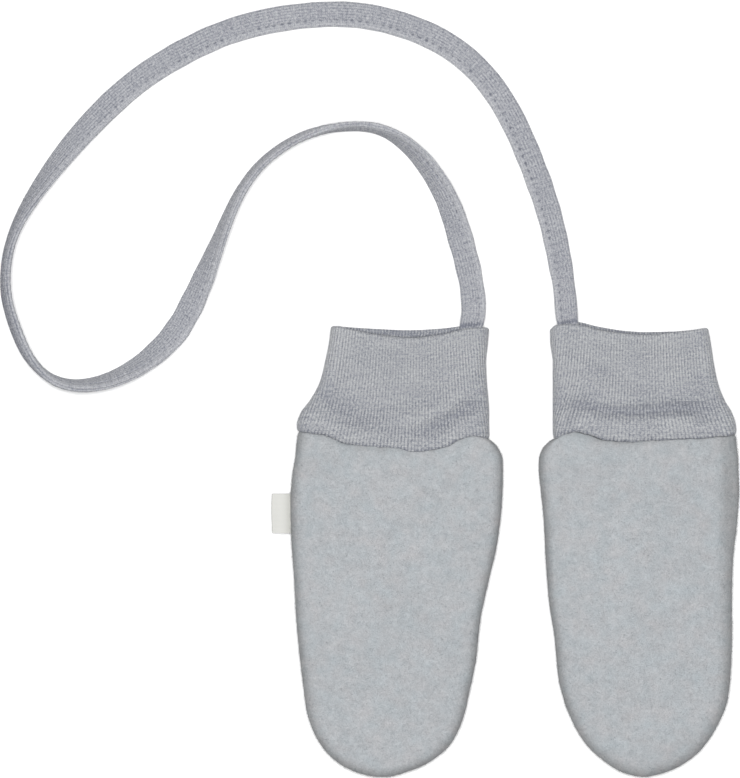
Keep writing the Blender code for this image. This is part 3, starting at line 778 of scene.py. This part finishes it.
def panel_surface(mitten, is_front, dents):
    """The outer and the inner grid of one panel, in millimetres, and the painted shade at each
    point: by bell curves of the distance from outline and seam, and by sharp creases."""
    edge, facing, from_seam = panel_outline(mitten)
    inset, curl_rise, share, wall = panel_profile()
    reach = np.linalg.norm(facing - edge, axis=1)[:, None]
    flats = np.linspace(0, 1, 25)[1:] ** 0.95
    level = SIDE_SEAM + (0.05 if is_front else -0.05)
    painted_shade_reach = np.interp(np.linspace(0, 1, len(edge)), (0.3, 0.7), mitten["painted_shade"])[:, None]
    to_spine = np.concatenate([np.zeros(len(inset)), flats])
    near_edge = np.concatenate([inset, np.full(len(flats), inset[-1])])
    height = BODY_TOP - BODY_CROWN - level if is_front else level - 0.02
    climb = np.concatenate([curl_rise + (height - CURL) * share, np.full(len(flats), height)])
    thick = np.concatenate([wall, np.ones(len(flats))])
    steep = np.gradient(climb[:len(inset)]), np.gradient(inset)
    size = np.hypot(*steep) + 1e-9
    out_x = np.concatenate([steep[0] / size, np.zeros(len(flats))])
    out_z = np.concatenate([steep[1] / size, np.ones(len(flats))])
    crown = BODY_CROWN * np.sin(np.pi / 2 * to_spine) if is_front else 0 * to_spine
    top = mitten["body"][0, 0]
    grids = []
    for inwards in (0.0, PANEL_WALL):
        lying = near_edge + inwards * thick * np.clip(out_x, 0, 1)
        shares = np.minimum(lying / reach, 0.9)
        shares = shares + (1 - shares) * to_spine
        flat = edge[:, None] * (1 - shares[..., None]) + facing[:, None] * shares[..., None]
        x, y = flat[..., 0], flat[..., 1]
        left, right = side_edges(mitten, "body", y)
        part = np.clip((x - left) / (right - left), 0, 1)
        fade = np.clip(1 - (top - y) / SEAM_SWAY, 0, 1)
        fade = fade**2 * (3 - 2 * fade)
        y = y + fade * (seam_at(mitten, part, is_front) + SEAM_LAP - top)
        risen = climb - inwards * thick * np.clip(out_z, -0.3, 1)
        full = np.clip(risen / height, 0, 1)
        round_in = np.clip(1 - from_seam / ROLL, 0, 1)
        rolled = 1 - np.sqrt(np.clip(1 - round_in**2, 0, 1))
        sunk = dent_depth(dents, x, y) - 0.16 * waves(x, y, 24, 11) - 0.05 * waves(x, y, 6, 12)
        pinch = bell(from_seam - 2.2, 2.4) * waves(x, y * 0.3, 5.5, 13)
        sunk = (sunk + 0.20 * pinch) * full**4
        if not is_front:
            sunk = np.clip(sunk, 0, None)
        drawn = (SEAM_DRAW - inwards * 0.7 * full) * rolled * edge_at(mitten["ditch"], part)
        x = x + drawn * np.clip(out_x, 0, 1) * ((facing - edge)[:, :1] / reach)
        z = level + (risen + crown - sunk - drawn * np.clip(out_z, 0, 1)) * (1 if is_front else -1)
        grids.append(np.dstack([x, y, z]))
    outer, inner = grids
    closing = np.clip(from_seam / ROLL, 0, 1)[..., None] ** 0.5
    inner = outer + (inner - outer) * closing
    # painted shade: darker on the rounded sides, under the cuff's seam and in sharp creases
    from_edge = near_edge + (reach - near_edge) * to_spine
    at_sides = bell(from_edge, painted_shade_reach)
    at_seam = edge_at(SEAM_PAINTED_SHADE, part) * bell(from_seam, SEAM_PAINTED_SHADE_REACH)
    at_creases = 0.85 * np.clip(dent_depth(dents[dents[:, 3] < 3], x, y), 0, 1)
    return outer, inner, 1 - (1 - at_sides) * (1 - at_seam) * (1 - at_creases)


body_grids = {}
for mitten in (LEFT, RIGHT):
    for side in ("front", "back"):
        node = f"{mitten['name']}_{side}"
        outer, inner, painted_shade = panel_surface(mitten, side == "front", DENTS[node])
        body_grids[node] = outer, painted_shade
        faces = grid_faces(*outer.shape[:2])
        faces = np.concatenate([faces, faces[:, ::-1] + painted_shade.size])
        panel = make_piece(f"{node}_fleece", np.stack([outer, inner]), faces, fleece,
                           painted_shading=np.stack([painted_shade, painted_shade]))
        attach(panel, "root")
        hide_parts(node)

# %% [markdown]
# ## The nap
# Loose fibre ends stand out of the fleece and soften its outline. Hair particles would be the usual
# way, but they aren't mesh, so each fibre is a thin three-sided spike with a closed base. The roots
# are spread evenly over the surface by picking grid cells by their area, and the fibres lean in
# slowly turning directions, as brushed wool does.

# %% Fibres
FRONT_FIBRES, BACK_FIBRES = 24000, 12000
FIRST_SEED = 41
DARK_FIBRES, DARK_SHADE = 0.06, 0.08  # the share of dark fibres, and their tone


def nap_fibres(grid, painted_shade, count, seed, is_front):
    """Roots: a random place in a random cell. Tips: the root plus a length times a lean along the
    surface and a lift out of it. Bases: three points round the root."""
    picked = np.random.default_rng(seed)
    a, b, c, d = grid.reshape(-1, 3)[grid_faces(*grid.shape[:2])].transpose(1, 0, 2)
    normal = np.cross(c - a, d - b)
    area = np.linalg.norm(normal, axis=1)
    cell = picked.choice(len(area), count, p=area / area.sum())
    s, t = picked.random((2, count, 1))
    a, b, c, d = a[cell], b[cell], c[cell], d[cell]
    root = (a * (1 - s) + b * s) * (1 - t) + (d * (1 - s) + c * s) * t
    facing = -1 if (normal[:, 2].sum() > 0) != is_front else 1
    normal = facing * normal[cell] / area[cell][:, None]
    bearing = 2.2 * waves(root[:, 0], root[:, 1], 30, seed) + picked.normal(0, 1.1, count)
    lean = np.stack([np.cos(bearing), np.sin(bearing), np.zeros(count)], axis=1)
    lean -= normal * np.einsum("ij,ij->i", lean, normal)[:, None]
    lean /= np.linalg.norm(lean, axis=1)[:, None] + 1e-9
    length = picked.uniform(0.7, 1.7, (count, 1))
    lift = picked.uniform(0.10, 0.55, (count, 1))
    third = np.cross(normal, lean)
    tip = root + length * (lean * np.sqrt(1 - lift**2) + normal * lift)
    tip += third * picked.normal(0, 0.15, (count, 1))
    tip[:, 2] = np.maximum(tip[:, 2], 0.05)
    radius = picked.uniform(0.028, 0.05, (count, 1))
    base = root - normal * 0.12
    corners = [base + radius * (third * np.cos(k) + normal * np.sin(k) - lean * 0.3)
               for k in (0, 2 * np.pi / 3, 4 * np.pi / 3)]
    points = np.stack([*corners, tip], axis=1).reshape(-1, 3)
    spike = np.array([(0, 1, 3), (1, 2, 3), (2, 0, 3), (0, 2, 1)])
    faces = (spike[None] + 4 * np.arange(count)[:, None, None]).reshape(-1, 3)
    shade = np.clip(picked.normal(0.66, 0.16, count), 0, 1)
    shade = np.where(picked.random(count) < DARK_FIBRES, DARK_SHADE, shade)
    # painted shade: fibres that stand over the panel's painted shade are darkened with it
    shade = shade * (1 - 0.6 * painted_shade[:-1, :-1].ravel()[cell])
    return points, faces, np.repeat(shade, 4)


for seed, (node, (grid, painted_shade)) in enumerate(body_grids.items(), FIRST_SEED):
    is_front = node.endswith("front")
    count = FRONT_FIBRES if is_front else BACK_FIBRES
    points, faces, shade = nap_fibres(grid, painted_shade, count, seed, is_front)
    fibres = make_piece(f"{node}_nap", points, faces, nap, merge=False, shade=shade)
    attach(fibres, "root")
    panel = bpy.data.objects[f"{node}_fleece"]

# %% [markdown]
# ## The cuffs
# A cuff is a tube of jersey folded double at the mouth. Its surface is a closed ring both ways: up
# the outside from the seam, over the fold at the mouth, and down the inside again. Round the tube
# run 116 wales. They are as many at the wide seam as at the narrow mouth, so they fan out towards
# the seam as the real ones do.

# %% Cuff surface
CUFF_WALES = 116
CUFF_WALL = 2.1
LOWER_WALL = 1.2
CUFF_RIDGE = 0.06
CUFF_ROLL = 1.7
COURSES_FROM = 83
CUFF_MIDDLE = 0.47
CUFF_LOFT = np.array([  # share of the way up, height
    (0, 8), (0.1, 8.15), (0.22, 7.8), (0.45, 7), (0.75, 7), (1, 7.5)])
# A crease in a cuff: shares across and up, length, width, angle, depth
CREASES = dict(
    left_front=np.array([
        (0.86, 0.24, 12, 3.4, 14, 1.5), (0.3, 0.24, 22, 3.5, -14, 0.9),
        (0.5, 0.07, 30, 2.6, -3, -0.5), (0.66, 0.3, 14, 2.4, 20, -0.6),
        (0.62, 0.42, 16, 2.4, 16, 0.5), (0.93, 0.62, 8, 2.4, 80, 0.5),
        (0.12, 0.55, 12, 3, 62, 0.3), (0.45, 0.8, 22, 3, 2, 0.25)]),
    right_front=np.array([
        (0.54, 0.29, 30, 2.4, 1.5, 1.8), (0.86, 0.25, 15, 2.8, -22, 0.9),
        (0.55, 0.1, 34, 2.8, 0, -0.7), (0.12, 0.16, 8, 2.2, 58, 0.8),
        (0.3, 0.62, 14, 2.4, -24, 0.4), (0.08, 0.7, 9, 2.4, 84, 0.35),
        (0.86, 0.6, 12, 3, -66, 0.3), (0.6, 0.84, 20, 3, -2, 0.25)]),
    left_back=np.array([(0.4, 0.2, 20, 3.2, -8, 0.5), (0.7, 0.5, 14, 3.0, 20, 0.35)]),
    right_back=np.array([(0.6, 0.22, 22, 3.2, 6, 0.5), (0.3, 0.55, 13, 3.0, -22, 0.35)]),
)


def ring_parts(width, height):
    """The lengths of a flattened tube's section: one straight, and half an ellipse at one side."""
    return width - 2 * EDGE_ROUND, np.pi * np.sqrt((EDGE_ROUND**2 + (height / 2) ** 2) / 2)


def wale_places(mitten, wale, share, left, straight, bend):
    """How far round the tube each wale lies. In front the wales stand at their pitch from one that
    is plumb, and the rest of them share the back, so some pass over the side folds on the way."""
    pitch = steady(share, (0, 0.5, 1), mitten["pitch"])
    side = straight + bend
    first = 30 - (bend / 2 + mitten["plumb"] - left - EDGE_ROUND) / pitch
    along_front = np.mod(wale - first, CUFF_WALES)
    ahead = along_front * pitch
    behind = side + (along_front - side / pitch) * side / (CUFF_WALES - side / pitch)
    return np.mod(np.where(ahead < side, ahead, behind) - bend / 2, 2 * side)


def flat_ring(width, height, gone):
    """A flattened tube's section at that distance round it: over the top from left to right, down
    half an ellipse, back underneath, and up half an ellipse. Gives x from the left end, z, and the
    way out."""
    straight, bend = ring_parts(width, height)
    legs = [gone < straight, gone < straight + bend, gone < 2 * straight + bend]
    end_angle = np.select(legs, [0 * gone, (gone - straight) / bend * np.pi, 0 * gone + np.pi],
                          (gone - 2 * straight - bend) / bend * np.pi + np.pi)
    x = np.select(legs, [EDGE_ROUND + gone, width - EDGE_ROUND + EDGE_ROUND * np.sin(end_angle),
                         EDGE_ROUND + 2 * straight + bend - gone],
                  EDGE_ROUND + EDGE_ROUND * np.sin(end_angle))
    lower, upper = CUFF_MIDDLE * height, (1 - CUFF_MIDDLE) * height
    z = lower + np.where(np.cos(end_angle) > 0, upper, lower) * np.cos(end_angle)
    out_x, out_z = np.sin(end_angle) / EDGE_ROUND, np.cos(end_angle) / (height / 2)
    size = np.hypot(out_x, out_z)
    return x, z, out_x / size, out_z / size


def cuff_surface(mitten):
    """The closed grid of one cuff, its stitch map and its painted shading: painted shade at the
    seam, in creases and on the inner layer, and painted highlight on ridges and towards the mouth.
    Rows go up outside, over the fold and down inside."""
    seam, mouth = mitten["seam"], mitten["mouth_front"]
    ends = seam[[0, -1], 1], mouth[[0, -1], 1]
    length = (ends[1] - ends[0]).mean()
    near_seam = [0, 0.1, 0.25, 0.45, 0.7, 1.0, 1.35, 1.75]
    away = np.concatenate([near_seam, np.arange(2.15, length - CUFF_WALL / 2, 0.4)])
    up = np.concatenate([away / (length - CUFF_WALL / 2), [1]])
    over = np.linspace(0, np.pi, 12)[1:-1]
    down = np.linspace(1, 0, 22)
    share = np.concatenate([up, np.ones(len(over)), down])[:, None]
    fold = np.concatenate([np.zeros(len(up)), over, np.full(len(down), np.pi)])[:, None]
    wale = np.arange(CUFF_WALES * POINTS_PER_WALE + 1) / POINTS_PER_WALE
    middle_up = ends[0][:, None, None] + (ends[1] - ends[0])[:, None, None] * share
    left = side_edges(mitten, "cuff", middle_up[0])[0]
    right = side_edges(mitten, "cuff", middle_up[1])[1]
    width = right - left
    height = steady(share, CUFF_LOFT[:, 0], CUFF_LOFT[:, 1])
    gone = wale_places(mitten, wale[None], share, left, *ring_parts(width, height))
    x, z, out_x, out_z = flat_ring(width, height, gone)
    part = np.clip(x / width, 0, 1)
    is_front = out_z > 0
    low = seam_at(mitten, part, is_front) - SEAM_LAP
    high = np.where(is_front, edge_at(mouth, part), edge_at(mitten["mouth_back"], part))
    y = low + (high - CUFF_WALL / 2 - low) * share + CUFF_WALL / 2 * np.sin(fold)
    outer = 0.5 + 0.5 * np.cos(fold)
    topness = np.abs(out_z) ** 3
    across_mm, up_mm = part * width, share * length + 0 * part
    in_mm = np.array([width.mean(), length, 1, 1, 1, 1])
    front, back = (dent_depth(CREASES[f"{mitten['name']}_{side}"] * in_mm, across_mm, up_mm)
                   for side in ("front", "back"))
    sunk = np.where(is_front, front, np.clip(back, 0, None)) * topness
    soft = 0.10 * waves(across_mm + 200 * is_front, up_mm, 17, 21)
    soft = soft + 0.045 * waves(across_mm, up_mm, 5, 22)
    ridge = CUFF_RIDGE * (0.5 - 0.5 * np.cos(2 * np.pi * wale))[None]
    start = np.clip(1 - share * length / CUFF_ROLL, 0, 1)
    rolled = SEAM_DRAW * (1 - np.sqrt(np.clip(1 - start**2, 0, 1)))
    rolled = rolled * edge_at(mitten["ditch"], part)
    rise = ridge + np.where(is_front, soft, np.minimum(soft, 0)) * topness - rolled * outer
    wall = LOWER_WALL + (CUFF_WALL - LOWER_WALL) * bell((1 - share) * length, 1.6)
    rise = rise * outer + ridge * (1 - outer) * 0.5 - wall * (1 - outer) - sunk
    # painted shade in creases, at the seam and on the inner layer; painted highlight on ridges and
    # near the mouth
    painted_crease_shade = 0.24 * np.maximum(sunk, -0.3) / (1 + 0.25 * np.abs(sunk))
    painted_shading = 0.36 * start**2 + painted_crease_shade + 0.12 * (0.55 - share)
    painted_shading = 0.3 * (1 - outer) ** 1.5 + painted_shading * outer
    grid = np.dstack([left + x + out_x * rise, y, z + out_z * rise])
    level = COURSES_FROM + (high - COURSES_FROM) * share**2
    course = np.where(fold < np.pi / 2, level - y, y - level) / COURSE
    uv = np.dstack(np.broadcast_arrays(wale, course))
    return [np.concatenate([part, part[:1]]) for part in (grid, uv, painted_shading)]


for mitten in (LEFT, RIGHT):
    grid, uv, painted_shading = cuff_surface(mitten)
    node = f"{mitten['name']}_cuff"
    cuff = make_piece(f"{node}_jersey", grid, grid_faces(*grid.shape[:2]), cuff_jersey,
                      uv=uv, painted_shading=painted_shading)
    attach(cuff, "root")
    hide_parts(node)

# %% [markdown]
# ## The band as a cord
# The band comes out of the right cuff's mouth and goes back into the left one.

# %% [markdown]
# ## The label
# A short woven tape is folded double and caught in the left mitten's side seam. It is thin and
# crisp: two layers with a sharp fold, a fine rib, and a slight droop. It stays blank.

# %% Label
LABEL_TOP = 20.6
LABEL_HEIGHT = 14.6
LABEL_OUT = 7.0
LABEL_WALL = 0.5
LABEL_FOLD = 0.65
LABEL_DROOP = 1.2
RIB_PITCH, PICK_PITCH = 0.00045, 0.0004  # metres
WEAVE_BUMP = 0.00009

label_side = side_edges(LEFT, "body", np.array([LABEL_TOP - LABEL_HEIGHT / 2]))[0][0]


def label_grid():
    """A closed ring of points round the folded tape, repeated along its height. The run goes out on
    top, round the fold, back below, and returns inside at the wall's distance."""
    reach = np.linspace(-1.2, 1, 26) * (LABEL_OUT - LABEL_FOLD)
    reach = reach[reach > -1.0]
    droop = LABEL_DROOP * np.clip(reach / LABEL_OUT, 0, 1) ** 2
    bend = np.radians(np.linspace(0, 180, 13))[1:-1]
    loops = []
    for size in (LABEL_FOLD, LABEL_FOLD - LABEL_WALL):
        top = np.stack([label_side - reach, SIDE_SEAM - droop + size], axis=1)
        below = np.stack([label_side - reach, SIDE_SEAM - droop - size], axis=1)
        middle = (top[-1] + below[-1]) / 2
        fold = middle + size * np.stack([-np.sin(bend), np.cos(bend)], axis=1)
        loops.append(np.concatenate([top, fold, below[::-1]]))
    ring = np.concatenate([loops[0], loops[1][::-1], loops[0][:1]])
    at = np.linspace(LABEL_TOP, LABEL_TOP - LABEL_HEIGHT, 60)[:, None]
    x, z = ring.T[:, None]
    z = z + 0.16 * np.sin(at / 2.6 + 1) * (label_side - x) / 6
    x = x + 0.12 * np.sin(at / 3.1) * (label_side - x) / 6
    return np.dstack(np.broadcast_arrays(x, at, z))


woven, tree, woven_shader = finish_of("off-white woven tape", 0.75, 0.05)
tape_x, tape_y, _ = add_node(tree, "SeparateXYZ", object_place(tree)).outputs
ribs = maths(tree, "SINE", times(tree, tape_y, 2 * np.pi / RIB_PITCH))
picks = maths(tree, "SINE", times(tree, tape_x, 2 * np.pi / PICK_PITCH))
weave = times(tree, ribs, 0.25, times(tree, picks, 0.25, 0.5))
weave_tone = between(tree, weave, (0.515, 0.515, 0.49), (0.615, 0.615, 0.59))
# painted shade: the tape is tinted darker where it goes into the side seam
weave_tone = tinted(tree, weave_tone, carried(tree, "painted_shading"), (1, 1, 1), (0.78, 0.78, 0.77))
feed(tree, weave_tone, woven_shader.inputs["Base Color"])
raise_by(tree, woven_shader, weave, WEAVE_BUMP)

tape = label_grid()
side_rows = tape.shape[1]
tape_faces = grid_faces(*tape.shape[:2])
half = (side_rows - 1) // 2
strip = np.arange(half - 1)
rim = [np.stack([side_rows - 2 - strip, side_rows - 3 - strip, strip + 1, strip], axis=1)]
rim.append(rim[0][:, ::-1] + side_rows * (len(tape) - 1))
# painted shade near the seam, carried as the painted shading
near_seam = bell(np.clip(label_side - tape[..., 0], 0, None), 1.9)
label = make_piece("side_label", tape, np.concatenate([tape_faces, *rim]), woven,
                   painted_shading=near_seam)
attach(label, "root")
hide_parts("label")
